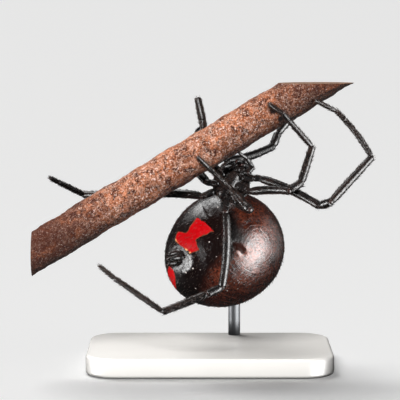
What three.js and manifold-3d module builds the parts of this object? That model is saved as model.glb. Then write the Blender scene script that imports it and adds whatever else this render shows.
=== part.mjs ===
import * as THREE from 'three';
import { mergeVertices } from 'three/addons/utils/BufferGeometryUtils.js';
import Module from 'manifold-3d';

const wasm = await Module();
wasm.setup();

// A female widow spider hanging under a cut length of stick, life size, in millimetres.
// +X runs along the stick, the viewer stands on the -Y side and +Z is up.
// The origin is the middle of the underside of the display base.

// Room left between two pieces that meet
const gap = 0.2;
const eyeGap = 0.06;

// Display stand
const baseLength = 20;
const baseDepth = 13;
const baseThickness = 1.6;
const baseCornerRadius = 2.5;
const baseEdgeBevel = 0.3;
const rodDiameter = 1;
const rodX = 2.1;
const rodBehind = 5.3;
const rodBendRadius = 2.5;

// Perch: the axis point above the origin, its direction and the two cuts
const perchCentre = new THREE.Vector3(0, -4.11, 18.32);
const perchBearing = 3.6;
const perchClimb = 30.8;
const perchDiameter = 3.16;
const perchRoughness = 0.07;
const perchLeftCut = -14.16;
const perchTopCut = 23.36;
const perchReach = 20;

// Fore body: carapace above, sternum below
const foreCentre = new THREE.Vector3(1.72, -3.46, 15.31);
const foreBearing = 8.5;
const foreClimb = 54.6;
const foreRoll = -121.5;
const carapaceFront = 2.05;
const carapaceRear = -1.55;
const carapaceHalfWidth = 1.62;
const carapaceHeight = 0.95;
const carapaceRim = -0.16;
const foveaDepth = 0.2;
const sternumFront = 1.45;
const sternumRear = -1.5;
const sternumHalfWidth = 0.78;
const sternumDepth = -0.86;

// Abdomen: nearly a globe, its long axis leaning up towards the front
const hindCentre = new THREE.Vector3(1.15, -0.2, 9.53);
const hindBearing = -7;
const hindClimb = 43.3;
const hindRoll = -124;
const abdomenLength = 10.1;
const abdomenWidth = 9.2;
const abdomenHeight = 9.16;
const abdomenLean = 12;
const abdomenTaper = 0.05;

// Places on the abdomen's middle line, as angles from straight down towards the front
const pedicelDiameter = 0.5;
const spinneretAngle = -35;
const spinneretCollarRadius = 0.8;
const spinneretCollarHeight = 0.35;
// Each cone or pair of cones: degrees ahead of the middle, degrees to the side, height, thickness
const spinneretCones = [[4, 3.6, 0.85, 0.5], [-0.5, 1.6, 0.7, 0.3], [-4, 2.8, 0.8, 0.42], [-8, 0, 0.6, 0.5]];

// Coxae leave the sternum's edge in a row; hips are where the femora start
const coxaPitch = 0.7;
const firstCoxa = 0.82;
const coxaHeight = -0.5;
const coxaThickness = 0.5;
const hipFan = [48, 80, 122, 149];
const hipReach = [2.4, 1.85, 1.95, 2.5];

// Leg segments from the hip out, longest in the first and last pairs
const segmentNames = ['femur', 'patella', 'tibia', 'metatarsus', 'tarsus'];
const segmentLengths = [
  [6, 1.25, 5.3, 4.7, 1.85],
  [3.95, 1.2, 3.1, 3.55, 1.45],
  [3.2, 0.9, 2.05, 2.5, 1.3],
  [6, 1.25, 4, 4.95, 1.7],
];
const segmentThickness = { femur: 0.68, patella: 0.6, tibia: 0.58, metatarsus: 0.5, tarsus: 0.44 };
const clawThickness = 0.2;
const legSides = 8;

// Pose: each segment's bearing from +X towards +Y and its climb, in degrees. A foot that
// grips the perch says how far along it, from the centre, and how far round from the front.
// The femur's bow and the metatarsus's arch are how far its middle lies off the straight line.
const pose = {
  leg_left_1: {
    hip: -0.2, femur: [-36, -18], patella: [-47, 19], tibia: [36, 38.5], metatarsus: [153.5, 49],
    grip: [9, -40], bow: [0, 0, 0.2], arch: [0.13, 0, 0.12],
  },
  leg_left_2: {
    hip: -0.3, femur: [-41, 4.5], patella: [24, 29.5], tibia: [51, 62], metatarsus: [-167.5, 48],
    grip: [5.7, 21], bow: [0, 0, 0.1],
  },
  leg_left_3: {
    hip: -0.6, femur: [-74, -3], patella: [124.5, 26.5], tibia: [120.5, 27.5], metatarsus: [176, 43.5],
    grip: [-1.3, -3], bow: [0, 0, 0],
  },
  leg_left_4: {
    hip: -0.9, femur: [-100.5, -75.5], patella: [-166.5, -24.5], tibia: [166, -23],
    metatarsus: [153.5, 29], tarsus: [155, 33], bow: [0.22, -0.1, 0],
  },
  leg_right_1: {
    hip: -0.05, reach: 1.9, femur: [49.5, 8], patella: [59.5, 51.5], tibia: [30, 45],
    metatarsus: [-110, 0], grip: [8, 180], bow: [0, 0, -0.2],
  },
  leg_right_2: {
    hip: -0.2, femur: [119.5, 39.5], patella: [-58, 27.5], tibia: [103, 46], metatarsus: [-82.5, -26.5],
    grip: [0.2, 127], bow: [0, 0, 0],
  },
  leg_right_3: {
    hip: -0.3, femur: [124, 30], patella: [103, 34.5], tibia: [95, 14], metatarsus: [-82, -2],
    grip: [-1.9, 175], bow: [0, 0, 0],
  },
  leg_right_4: {
    hip: -0.3, femur: [163, -1], patella: [151.5, -4], tibia: [138.5, -2.7], metatarsus: [-112, 17],
    tarsus: [-111, 17], bow: [0, 0, 0.2],
  },
};

// Mouthparts, as places in the fore body's own frame: forward, left, up
const cheliceraBase = [1.76, 0.35, -0.15];
const cheliceraTip = [1.72, 0.33, -1.12];
const cheliceraThickness = 0.48;
const fangLength = 0.4;
const palpThickness = 0.4;
const palpLeft = [[1.25, 0.6, -0.75], [1.45, 1, -0.95], [2, 1, -0.75], [2.3, 0.4, -1.4], [2.3, -0.25, -2.05]];
const palpRight = [[1.25, -0.6, -0.75], [0.75, -0.85, -1.3], [0.4, -0.75, -1.75], [0.85, -0.7, -1.95], [1.3, -0.5, -2]];

// Eyes: two rows of four across the front of the head
const eyeDiameter = 0.22;
const eyeRows = [
  { name: 'anterior', forward: 1.86, up: 0.34, sides: [0.2, 0.52] },
  { name: 'posterior', forward: 1.62, up: 0.66, sides: [0.2, 0.58] },
];

const radians = THREE.MathUtils.degToRad;

const shell = new THREE.MeshStandardMaterial({ color: 0x120d0c, roughness: 0.2, metalness: 0, flatShading: true });
const abdomenSkin = new THREE.MeshStandardMaterial({ color: 0x24120e, roughness: 0.25, metalness: 0, flatShading: true });
const eyeGlass = new THREE.MeshStandardMaterial({ color: 0x050505, roughness: 0.05, metalness: 0 });
const bark = new THREE.MeshStandardMaterial({ color: 0x7a4630, roughness: 0.85, metalness: 0, flatShading: true });
const standPaint = new THREE.MeshStandardMaterial({ color: 0xe4e1da, roughness: 0.4, metalness: 0 });
const standSteel = new THREE.MeshStandardMaterial({ color: 0xb8babd, roughness: 0.3, metalness: 1 });

// Frames of the two halves of the body

function bodyFrame(centre, bearing, climb, roll) {
  const frame = new THREE.Group();
  frame.position.copy(centre);
  frame.rotation.set(radians(roll), radians(-climb), radians(bearing), 'ZYX');
  frame.updateMatrixWorld();
  return frame;
}

const spider = new THREE.Group();
const foreBody = bodyFrame(foreCentre, foreBearing, foreClimb, foreRoll);
const hindBody = bodyFrame(hindCentre, hindBearing, hindClimb, hindRoll);
spider.add(foreBody, hindBody);

const onForeBody = (place) => new THREE.Vector3(...place).applyMatrix4(foreBody.matrixWorld);
const onHindBody = (place) => new THREE.Vector3(...place).applyMatrix4(hindBody.matrixWorld);

// Joining and cutting of closed meshes

function toSolid(geometry, frame) {
  const bare = geometry.clone();
  bare.deleteAttribute('normal');
  bare.deleteAttribute('uv');
  const merged = mergeVertices(bare, 1e-4);
  if (frame) merged.applyMatrix4(frame.matrixWorld);
  const corners = [];
  for (let i = 0; i < merged.index.count; i += 3) {
    const [a, b, c] = [0, 1, 2].map((k) => merged.index.getX(i + k));
    if (a !== b && b !== c && c !== a) corners.push(a, b, c);
  }
  return new wasm.Manifold(new wasm.Mesh({
    numProp: 3,
    vertProperties: new Float32Array(merged.attributes.position.array),
    triVerts: new Uint32Array(corners),
  }));
}

const joined = (solids) => solids.reduce((whole, piece) => whole.add(piece));
const cutBy = (solid, others) => others.reduce((rest, other) => rest.subtract(other), solid);

function largest(solid) {
  return solid.decompose().reduce((best, piece) => (piece.volume() > best.volume() ? piece : best));
}

function addPart(name, solid, material, home = spider) {
  const { vertProperties, triVerts } = largest(solid).getMesh();
  const geometry = new THREE.BufferGeometry();
  geometry.setAttribute('position', new THREE.BufferAttribute(vertProperties, 3));
  geometry.setIndex(new THREE.BufferAttribute(triVerts, 1));
  geometry.applyMatrix4(home.matrixWorld.clone().invert());
  geometry.computeVertexNormals();
  const mesh = new THREE.Mesh(geometry, material);
  mesh.name = name;
  home.add(mesh);
  return mesh;
}

// A closed form swept along its own X axis: a globe whose sections are resized on the way.
// section(t) gives [half width, height above, depth below] at t from -1, rear, to 1, front.
function sweptForm(rear, front, section, sides, rings) {
  const form = new THREE.SphereGeometry(1, sides, rings);
  form.rotateZ(-Math.PI / 2);
  const corner = form.attributes.position;
  for (let i = 0; i < corner.count; i++) {
    const t = THREE.MathUtils.clamp(corner.getX(i), -1, 1);
    const ring = Math.sqrt(Math.max(1 - t * t, 0)) || 1;
    const [halfWidth, above, below] = section(t);
    const side = corner.getY(i) / ring;
    const up = corner.getZ(i) / ring;
    const place = (rear + front) / 2 + (t * (front - rear)) / 2;
    corner.setXYZ(i, place, side * halfWidth, up > 0 ? up * above : up * below);
  }
  return form;
}

const roundEnd = (t, fullness) => (1 - Math.abs(t) ** fullness) ** (1 / 2);

// Carapace and sternum

function carapace(grow) {
  const section = (t) => {
    const head = THREE.MathUtils.smoothstep(t, -0.1, 0.75);
    const end = roundEnd(t, t > 0 ? 6 : 2.4);
    const halfWidth = carapaceHalfWidth * (1 - 0.44 * head) * end;
    const fovea = foveaDepth * Math.exp(-(((t + 0.2) / 0.16) ** 2));
    const above = (carapaceHeight * (0.86 + 0.14 * head) - fovea) * end;
    return [halfWidth + grow, above + grow, -carapaceRim * end + grow];
  };
  return sweptForm(carapaceRear - grow, carapaceFront + grow, section, 18, 12);
}

function sternum(grow) {
  const section = (t) => {
    const end = roundEnd(t, 3);
    return [sternumHalfWidth * (1 - 0.12 * t) * end + grow, 0.5 * end + grow, -sternumDepth * end ** 0.5 + grow];
  };
  return sweptForm(sternumRear - grow, sternumFront + grow, section, 12, 8);
}

const foreSolid = (grow) => toSolid(carapace(grow), foreBody).add(toSolid(sternum(grow), foreBody));

// Abdomen

function abdomen(grow) {
  const globe = new THREE.SphereGeometry(1, 32, 20);
  globe.rotateZ(-Math.PI / 2);
  const corner = globe.attributes.position;
  for (let i = 0; i < corner.count; i++) {
    const [forward, side, up] = [corner.getX(i), corner.getY(i), corner.getZ(i)];
    const slim = 1 + abdomenTaper * forward;
    corner.setXYZ(
      i,
      forward * (abdomenLength / 2 + grow),
      side * slim * (abdomenWidth / 2 + grow),
      up * slim * (abdomenHeight / 2 + grow),
    );
  }
  globe.rotateY(radians(-abdomenLean));
  return toSolid(globe, hindBody);
}

// A place above or below the abdomen's surface, in a direction given from straight down:
// degrees towards the front and degrees to the left
function offAbdomen(angle, side, height) {
  const [a, s] = [radians(angle), radians(side)];
  const outward = new THREE.Vector3(Math.sin(a) * Math.cos(s), Math.sin(s), -Math.cos(a) * Math.cos(s));
  const leaned = outward.clone().applyAxisAngle(new THREE.Vector3(0, 1, 0), radians(abdomenLean));
  const slim = 1 + abdomenTaper * leaned.x;
  const inverse = Math.hypot(
    leaned.x / (abdomenLength / 2),
    leaned.y / ((slim * abdomenWidth) / 2),
    leaned.z / ((slim * abdomenHeight) / 2),
  );
  return onHindBody(outward.multiplyScalar(1 / inverse + height).toArray());
}

// Limb segments: lathe-turned spindles from one joint to the next, bowed along the way.
// Each row of the profile is [share of the length, share of the thickness].
const plainLimb = [[0, 0.78], [0.12, 0.95], [0.4, 1], [0.75, 0.92], [1, 0.8]];
const stubbyLimb = [[0, 0.8], [0.35, 1], [1, 0.85]];
const clawedLimb = [[0, 0.9], [0.5, 0.8], [1, 0.45]];

function limb(start, end, thickness, profile, { bow = [0, 0, 0], sides = legSides, tip = 0.8 } = {}) {
  const along = end.clone().sub(start);
  const length = along.length();
  along.normalize();
  const radius = thickness / 2;
  const first = profile[0][1] * radius;
  const last = profile[profile.length - 1][1] * radius;
  const outline = [
    new THREE.Vector2(0, -first * 0.8),
    ...profile.map(([share, size]) => new THREE.Vector2(size * radius, share * length)),
    new THREE.Vector2(0, length + last * tip),
  ];
  const spindle = new THREE.LatheGeometry(outline, sides);
  const bowed = new THREE.Vector3(...bow);
  const turn = new THREE.Quaternion().setFromUnitVectors(new THREE.Vector3(0, 1, 0), along);
  const corner = spindle.attributes.position;
  const place = new THREE.Vector3();
  for (let i = 0; i < corner.count; i++) {
    const share = THREE.MathUtils.clamp(corner.getY(i) / length, 0, 1);
    place.fromBufferAttribute(corner, i).applyQuaternion(turn).add(start);
    place.addScaledVector(bowed, 4 * share * (1 - share));
    corner.setXYZ(i, place.x, place.y, place.z);
  }
  return toSolid(spindle);
}

const heading = (bearing, climb) => new THREE.Vector3(
  Math.cos(radians(climb)) * Math.cos(radians(bearing)),
  Math.cos(radians(climb)) * Math.sin(radians(bearing)),
  Math.sin(radians(climb)),
);

// Perch: a slightly lumpy round stick, cut upright at one end and level at the other

const perchAxis = heading(perchBearing, perchClimb);

function perchPoint(along, round, height) {
  const front = new THREE.Vector3(0, -1, 0).projectOnPlane(perchAxis).normalize();
  const top = new THREE.Vector3().crossVectors(perchAxis, front).negate();
  return perchCentre.clone()
    .addScaledVector(perchAxis, along)
    .addScaledVector(front, height * Math.cos(radians(round)))
    .addScaledVector(top, height * Math.sin(radians(round)));
}

function perch(grow) {
  const stick = new THREE.CylinderGeometry(1, 1, 2 * perchReach, 20, 24);
  const corner = stick.attributes.position;
  for (let i = 0; i < corner.count; i++) {
    const [x, along, z] = [corner.getX(i), corner.getY(i), corner.getZ(i)];
    const onAxis = Math.hypot(x, z) < 0.5;
    const round = THREE.MathUtils.radToDeg(Math.atan2(z, x));
    const lump = Math.sin(along * 0.9 + 0.05 * round) + Math.sin(along * 2.3 - 2 * radians(round));
    const height = onAxis ? 0 : perchDiameter / 2 + grow + (perchRoughness * lump) / 2;
    const place = perchPoint(along, round, height);
    corner.setXYZ(i, place.x, place.y, place.z);
  }
  const block = new THREE.BoxGeometry(2 * perchReach, 2 * perchReach, 2 * perchReach);
  block.translate(perchLeftCut - grow + perchReach, 0, perchTopCut + grow - perchReach);
  return toSolid(stick).intersect(toSolid(block));
}

// Legs

function legSolid(name) {
  const plan = pose[name];
  const side = name.includes('left') ? 1 : -1;
  const pair = Number(name.slice(-1)) - 1;
  const fan = radians(hipFan[pair]);
  const coxaPlace = [firstCoxa - coxaPitch * pair, side * sternumHalfWidth, coxaHeight];
  const reach = plan.reach ?? hipReach[pair];
  const hipPlace = [reach * Math.cos(fan), side * reach * Math.sin(fan), plan.hip];
  const coxa = onForeBody(coxaPlace);
  const hip = onForeBody(hipPlace);
  const ring = coxa.clone().lerp(hip, 0.62);
  const pieces = [
    limb(coxa, ring, coxaThickness, stubbyLimb),
    limb(ring, hip, coxaThickness * 1.05, stubbyLimb),
  ];
  let joint = hip;
  segmentNames.forEach((segment, order) => {
    const thickness = segmentThickness[segment];
    let next;
    if (plan[segment]) {
      next = joint.clone().addScaledVector(heading(...plan[segment]), segmentLengths[pair][order]);
    } else {
      next = perchPoint(plan.grip[0], plan.grip[1], perchDiameter / 2 + gap);
    }
    const profile = segment === 'patella' ? stubbyLimb : segment === 'tarsus' ? clawedLimb : plainLimb;
    const bow = { femur: plan.bow, metatarsus: plan.arch }[segment];
    pieces.push(limb(joint, next, thickness, profile, { bow, tip: segment === 'tarsus' ? 0.3 : 0.8 }));
    joint = next;
  });
  return joined(pieces);
}

// Pedicel: the narrow waist, from under the carapace's rear edge to the abdomen

function pedicel() {
  const start = onForeBody([carapaceRear * 0.75, 0, 0]);
  const end = start.clone().lerp(hindCentre, 0.4);
  return limb(start, end, pedicelDiameter, [[0, 1], [0.5, 0.9], [1, 1]], { sides: 12 });
}

// Spinnerets: three pairs of short cones inside a low collar, with the anal lobe behind them

function spinnerets() {
  const root = offAbdomen(spinneretAngle, 0, -0.5);
  const top = offAbdomen(spinneretAngle, 0, spinneretCollarHeight);
  const pieces = [limb(root, top, 2 * spinneretCollarRadius, [[0, 1], [0.8, 1], [1, 0.8]], {
    sides: 16, tip: 0.05,
  })];
  for (const [forward, side, length, thickness] of spinneretCones) {
    for (const hand of side === 0 ? [1] : [1, -1]) {
      const foot = offAbdomen(spinneretAngle + forward, hand * side, -0.1);
      const tip = offAbdomen(spinneretAngle + forward * 0.8, hand * side * 0.7, length);
      pieces.push(limb(foot, tip, thickness, [[0, 1], [0.8, 0.95], [1, 0.55]], { sides: 7, tip: 0.4 }));
    }
  }
  return joined(pieces);
}

// Mouthparts

function chelicera(hand) {
  const place = ([forward, side, up]) => onForeBody([forward, hand * side, up]);
  const base = place(cheliceraBase);
  const tip = place(cheliceraTip);
  const fangEnd = place([cheliceraTip[0] - 0.12, cheliceraTip[1] - 0.06, cheliceraTip[2] - fangLength]);
  return joined([
    limb(base, tip, cheliceraThickness, [[0, 0.9], [0.3, 1], [0.8, 0.86], [1, 0.66]], { sides: 12 }),
    limb(tip, fangEnd, clawThickness, clawedLimb, { tip: 0.4 }),
  ]);
}

function palp(places) {
  const joints = places.map(onForeBody);
  return joined(joints.slice(1).map((end, i) => {
    const last = i === joints.length - 2;
    return limb(joints[i], end, palpThickness, last ? clawedLimb : plainLimb, { tip: last ? 0.4 : 0.8 });
  }));
}

// Eyes: beads half sunk in sockets on the front of the head

const eyePlaces = eyeRows.flatMap(({ name, forward, up, sides }) => [1, -1].flatMap((hand) => (
  sides.map((side, i) => ({
    name: `eye_${name}_${i ? 'lateral' : 'median'}_${hand > 0 ? 'left' : 'right'}`,
    place: [forward - 0.18 * i, hand * side, up - 0.06 * i],
  }))
)));

function eyeBall(place, grow) {
  const ball = new THREE.SphereGeometry(eyeDiameter / 2 + grow, 8, 6);
  ball.translate(...place);
  return toSolid(ball, foreBody);
}

// Display stand: a flat base and one bent rod that ends on the back of the stick

function standBase() {
  const [x, y, r] = [baseLength / 2, baseDepth / 2, baseCornerRadius];
  const outline = new THREE.Shape();
  outline.moveTo(-x + r, -y);
  outline.lineTo(x - r, -y);
  outline.absarc(x - r, -y + r, r, -Math.PI / 2, 0);
  outline.absarc(x - r, y - r, r, 0, Math.PI / 2);
  outline.absarc(-x + r, y - r, r, Math.PI / 2, Math.PI);
  outline.absarc(-x + r, -y + r, r, Math.PI, 1.5 * Math.PI);
  const slab = new THREE.ExtrudeGeometry(outline, {
    depth: baseThickness - 2 * baseEdgeBevel,
    curveSegments: 6,
    bevelEnabled: true,
    bevelSize: baseEdgeBevel,
    bevelThickness: baseEdgeBevel,
    bevelOffset: -baseEdgeBevel,
    bevelSegments: 1,
  });
  slab.translate(0, 0, baseEdgeBevel);
  return toSolid(slab);
}

function standRod() {
  const onStick = perchPoint(0, 180, 0);
  const alongPerch = (rodX - onStick.x) / perchAxis.x;
  const end = perchPoint(alongPerch, 180, 0);
  const r = rodBendRadius;
  const route = new THREE.CurvePath();
  const bendStart = new THREE.Vector3(rodX, rodBehind, end.z - r);
  const bendEnd = new THREE.Vector3(rodX, rodBehind - r, end.z);
  route.add(new THREE.LineCurve3(new THREE.Vector3(rodX, rodBehind, baseThickness + gap), bendStart));
  route.add(new THREE.QuadraticBezierCurve3(bendStart, new THREE.Vector3(rodX, rodBehind, end.z), bendEnd));
  route.add(new THREE.LineCurve3(bendEnd, end));
  const section = new THREE.Shape();
  section.absarc(0, 0, rodDiameter / 2, 0, 2 * Math.PI);
  return new THREE.ExtrudeGeometry(section, { extrudePath: route, steps: 24, curveSegments: 5 });
}

const foreRoom = foreSolid(gap);
const hindRoom = abdomen(gap);
const perchRoom = perch(gap);

addPart('abdomen', abdomen(0), abdomenSkin, hindBody);
addPart('perch_stick', perch(0), bark);
for (const name of Object.keys(pose)) {
  addPart(name, cutBy(legSolid(name), [foreRoom, perchRoom]), shell);
}
for (const [side, hand] of [['left', 1], ['right', -1]]) {
  addPart(`chelicera_${side}`, cutBy(chelicera(hand), [foreRoom]), shell, foreBody);
}
addPart('palp_left', cutBy(palp(palpLeft), [foreRoom]), shell, foreBody);
addPart('palp_right', cutBy(palp(palpRight), [foreRoom]), shell, foreBody);

addPart('pedicel', cutBy(pedicel(), [foreRoom, hindRoom]), shell);
addPart('spinnerets', cutBy(spinnerets(), [hindRoom]), shell, hindBody);

const sockets = eyePlaces.map(({ place }) => eyeBall(place, eyeGap));
addPart('cephalothorax', cutBy(foreSolid(0), sockets), shell, foreBody);
for (const { name, place } of eyePlaces) {
  addPart(name, eyeBall(place, 0), eyeGlass, foreBody);
}

addPart('stand_base', standBase(), standPaint);
addPart('stand_rod', cutBy(toSolid(standRod()), [perchRoom]), standSteel);

spider.updateMatrixWorld();
export default spider;
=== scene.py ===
import math

import bpy
import numpy as np
from mathutils import Euler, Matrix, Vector, noise


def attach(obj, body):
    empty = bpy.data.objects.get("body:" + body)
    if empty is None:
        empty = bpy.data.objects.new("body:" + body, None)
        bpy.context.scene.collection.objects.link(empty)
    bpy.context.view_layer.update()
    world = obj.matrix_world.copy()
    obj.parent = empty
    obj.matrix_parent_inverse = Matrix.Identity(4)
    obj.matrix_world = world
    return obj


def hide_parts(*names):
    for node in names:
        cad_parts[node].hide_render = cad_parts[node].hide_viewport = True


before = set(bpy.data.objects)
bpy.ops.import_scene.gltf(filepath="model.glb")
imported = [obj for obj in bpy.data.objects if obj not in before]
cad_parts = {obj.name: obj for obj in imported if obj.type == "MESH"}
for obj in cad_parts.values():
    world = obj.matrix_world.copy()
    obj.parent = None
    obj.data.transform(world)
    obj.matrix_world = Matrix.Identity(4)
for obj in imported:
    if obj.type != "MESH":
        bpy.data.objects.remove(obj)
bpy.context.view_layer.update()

mm = 0.001
scene = bpy.context.scene


# Camera, floor and lights
# A long lens a little above the animal and a wide pale floor. A soft light from overhead behind and a
# front fill show the colours; diffusers at the sides only draw the pale gleams on the glossy skin.

camera_target = Vector((-0.8, -3.6, 14.0)) * mm
camera_distance = 170 * mm
camera_elevation = math.radians(6)
focal_length = 191.25
sensor_width = 36
nearest_seen = 10 * mm
lamp_distance = 130 * mm
floor_radius = 8000
floor_sides = 64
floor_level = -0.02
room_light = 0.035
wall_brightness = 0.8

lens = bpy.data.cameras.new("camera")
lens.lens = focal_length
lens.sensor_width = sensor_width
lens.clip_start = nearest_seen
camera = bpy.data.objects.new("camera", lens)
scene.collection.objects.link(camera)
toward_camera = Vector((0, -math.cos(camera_elevation), math.sin(camera_elevation)))
camera.location = camera_target + camera_distance * toward_camera
camera.rotation_euler = (math.pi / 2 - camera_elevation, 0, 0)
scene.camera = camera
scene.view_settings.view_transform = "Standard"


def set_inputs(node, inputs):
    """Gives the node its inputs, each either a plain value or the socket that feeds it."""
    for key, value in inputs.items():
        if isinstance(value, bpy.types.NodeSocket):
            node.id_data.links.new(value, node.inputs[key])
        else:
            node.inputs[key].default_value = value


def add_node(kind, inputs=None, **settings):
    """A node in the tree that is being made, the one that the script last named tree."""
    node = tree.nodes.new(kind)
    for key, value in settings.items():
        setattr(node, key, value)
    set_inputs(node, inputs or {})
    return node


def new_material(name, inputs=None):
    """A material with one Principled shader, its node tree and that shader."""
    material = bpy.data.materials.new(name)
    material.use_nodes = True
    shader = material.node_tree.nodes["Principled BSDF"]
    set_inputs(shader, inputs or {})
    return material, material.node_tree, shader


def mixed(factor, low, high):
    """The colour between two colours, as the factor goes from 0 to 1."""
    return add_node("ShaderNodeMix", {0: factor, 6: low, 7: high}, data_type="RGBA").outputs[2]


def mesh_object(name, corners, faces, *materials):
    """A smooth-shaded mesh object from places in millimetres."""
    mesh = bpy.data.meshes.new(name)
    mesh.from_pydata([tuple(p) for p in np.asarray(corners) * mm], [], faces)
    mesh.shade_smooth()
    for material in materials:
        mesh.materials.append(material)
    made = bpy.data.objects.new(name, mesh)
    scene.collection.objects.link(made)
    return made


floor_ring = [
    (floor_radius * math.cos(a), floor_radius * math.sin(a), floor_level)
    for a in np.linspace(0, 2 * math.pi, floor_sides, endpoint=False)
]
floor_finish = {"Base Color": (0.9, 0.9, 0.895, 1), "Roughness": 0.9, "Emission Color": (1, 1, 1, 1)}
floor_paint = new_material("floor_paint", {**floor_finish, "Emission Strength": 0.16})[0]
floor = mesh_object("floor", floor_ring, [list(range(floor_sides))], floor_paint)
floor.visible_glossy = False
floor.visible_diffuse = False
floor.visible_shadow = False


def add_light(name, kind, direction, strength, **settings):
    """A lamp that shines at the animal from that direction."""
    lamp = bpy.data.lights.new(name, kind)
    lamp.energy = strength
    for key, value in settings.items():
        setattr(lamp, key, value)
    holder = bpy.data.objects.new(name, lamp)
    scene.collection.objects.link(holder)
    direction = Vector(direction).normalized()
    holder.location = camera_target + direction * lamp_distance
    holder.rotation_euler = direction.to_track_quat("Z", "Y").to_euler()
    return holder


add_light("overhead", "SUN", (-0.35, 0.45, 0.82), 2.6, angle=math.radians(40))
front_fill = add_light("front_fill", "AREA", (-0.3, -0.8, 0.52), 0.44, shape="DISK", size=0.08)
right_diffuser = add_light(
    "right_diffuser", "AREA", (0.857, -0.515, -0.12), 0.85, shape="ELLIPSE", size=0.165, size_y=0.115
)
right_diffuser.rotation_euler.rotate_axis("Z", math.radians(60))
left_diffuser = add_light("left_diffuser", "AREA", (-0.95, -0.14, -0.12), 0.3, shape="DISK", size=0.07)
rim_diffuser = add_light("rim_diffuser", "AREA", (0.94, 0.33, 0.1), 0.045, shape="DISK", size=0.12)
front_fill.visible_glossy = False
for diffuser in (right_diffuser, left_diffuser, rim_diffuser):
    diffuser.visible_diffuse = False


def ranged(value, low, high):
    """From low to high, as the value goes from 0 to 1."""
    return add_node("ShaderNodeMapRange", {"Value": value, "To Min": low, "To Max": high}).outputs["Result"]


room = bpy.data.worlds.new("room")
room.use_nodes = True
tree = room.node_tree
seen = add_node("ShaderNodeLightPath").outputs["Is Camera Ray"]
wall = {"Strength": ranged(seen, room_light, wall_brightness), "Color": (0.97, 0.98, 1, 1)}
set_inputs(tree.nodes["Background"], wall)
scene.world = room

unlit_by_fill = bpy.data.collections.new("unlit_by_fill")
unlit_by_fill.objects.link(floor)
unlit_by_fill.collection_objects[0].light_linking.link_state = "EXCLUDE"
front_fill.light_linking.receiver_collection = unlit_by_fill


# Stand base
# A flat slab of satin off-white acrylic with rounded corners and softened edges. It lies on the floor
# and carries the rod.

slab_length = 20
slab_depth = 13
slab_thickness = 1.6
slab_corner = 2.5
slab_edge = 0.3
slab_colour = (0.6, 0.585, 0.56, 1)
slab_haze = (0.53, 0.515, 0.49, 1)


def slab_outline(inset):
    """The slab's rounded rectangle, drawn in by the inset."""
    radius = slab_corner - inset
    half = (slab_length / 2 - slab_corner, slab_depth / 2 - slab_corner)
    return [
        (sx * half[0] + radius * math.cos(a), sy * half[1] + radius * math.sin(a))
        for sx, sy, first in ((1, 1, 0), (-1, 1, 90), (-1, -1, 180), (1, -1, 270))
        for a in np.radians(np.linspace(first, first + 90, 16))
    ]


def stacked_rings(rings):
    """Faces of a closed form: rings of equal count, joined in order and capped at both ends."""
    count = len(rings[0])
    faces = [
        [r * count + i, r * count + (i + 1) % count, (r + 1) * count + (i + 1) % count, (r + 1) * count + i]
        for r in range(len(rings) - 1)
        for i in range(count)
    ]
    faces.append(list(range(count))[::-1])
    faces.append([(len(rings) - 1) * count + i for i in range(count)])
    return faces


def place_from(centre=(0, 0, 0), turn=(0, 0, 0)):
    """The place on the surface in millimetres, from that centre and in a frame with that turn."""
    place = add_node("ShaderNodeTexCoord").outputs["Object"]
    inputs = {"Vector": place, "Location": tuple(np.array(centre) * mm), "Rotation": tuple(turn)}
    framed = add_node("ShaderNodeMapping", {**inputs, "Scale": (mm, mm, mm)}, vector_type="TEXTURE")
    return framed.outputs["Vector"]


def clouds_of(place, scale, detail, roughness=0.5, distortion=0.0):
    """Uneven clouds from 0 to 1, about so many to the unit of the place."""
    inputs = {"Vector": place, "Scale": scale, "Detail": detail, "Roughness": roughness}
    return add_node("ShaderNodeTexNoise", {**inputs, "Distortion": distortion}).outputs["Fac"]


slab_rings = []
for a in np.radians(np.linspace(-90, 90, 13)):
    level = slab_edge + slab_edge * math.sin(a)
    if a > 0:
        level = slab_thickness - slab_edge * (1 - math.sin(a))
    inset = slab_edge * (1 - math.cos(a))
    slab_rings.append([(x, y, level) for x, y in slab_outline(inset)])
slab_acrylic, tree, shader = new_material("slab_acrylic", {"Coat Weight": 0.15})
haze = clouds_of(place_from(), 0.26, 4)
set_inputs(shader, {"Base Color": mixed(haze, slab_colour, slab_haze), "Roughness": ranged(haze, 0.3, 0.44)})
stand_slab = mesh_object("stand_slab", sum(slab_rings, []), stacked_rings(slab_rings), slab_acrylic)
stand_slab.visible_glossy = False
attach(stand_slab, "root")
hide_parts("stand_base")


# Stand rod
# One steel rod, brushed along its length. It rises behind the animal, bends forward over the abdomen
# and ends in a blind hole in the back of the stick.

rod_radius = 0.5
rod_x = 2.1
rod_behind = 5.3
rod_bend = 2.5
rod_end = Vector((rod_x, -4.0, 19.57))
rod_dark = (0.08, 0.082, 0.086, 1)
rod_light = (0.15, 0.154, 0.16, 1)


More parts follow.
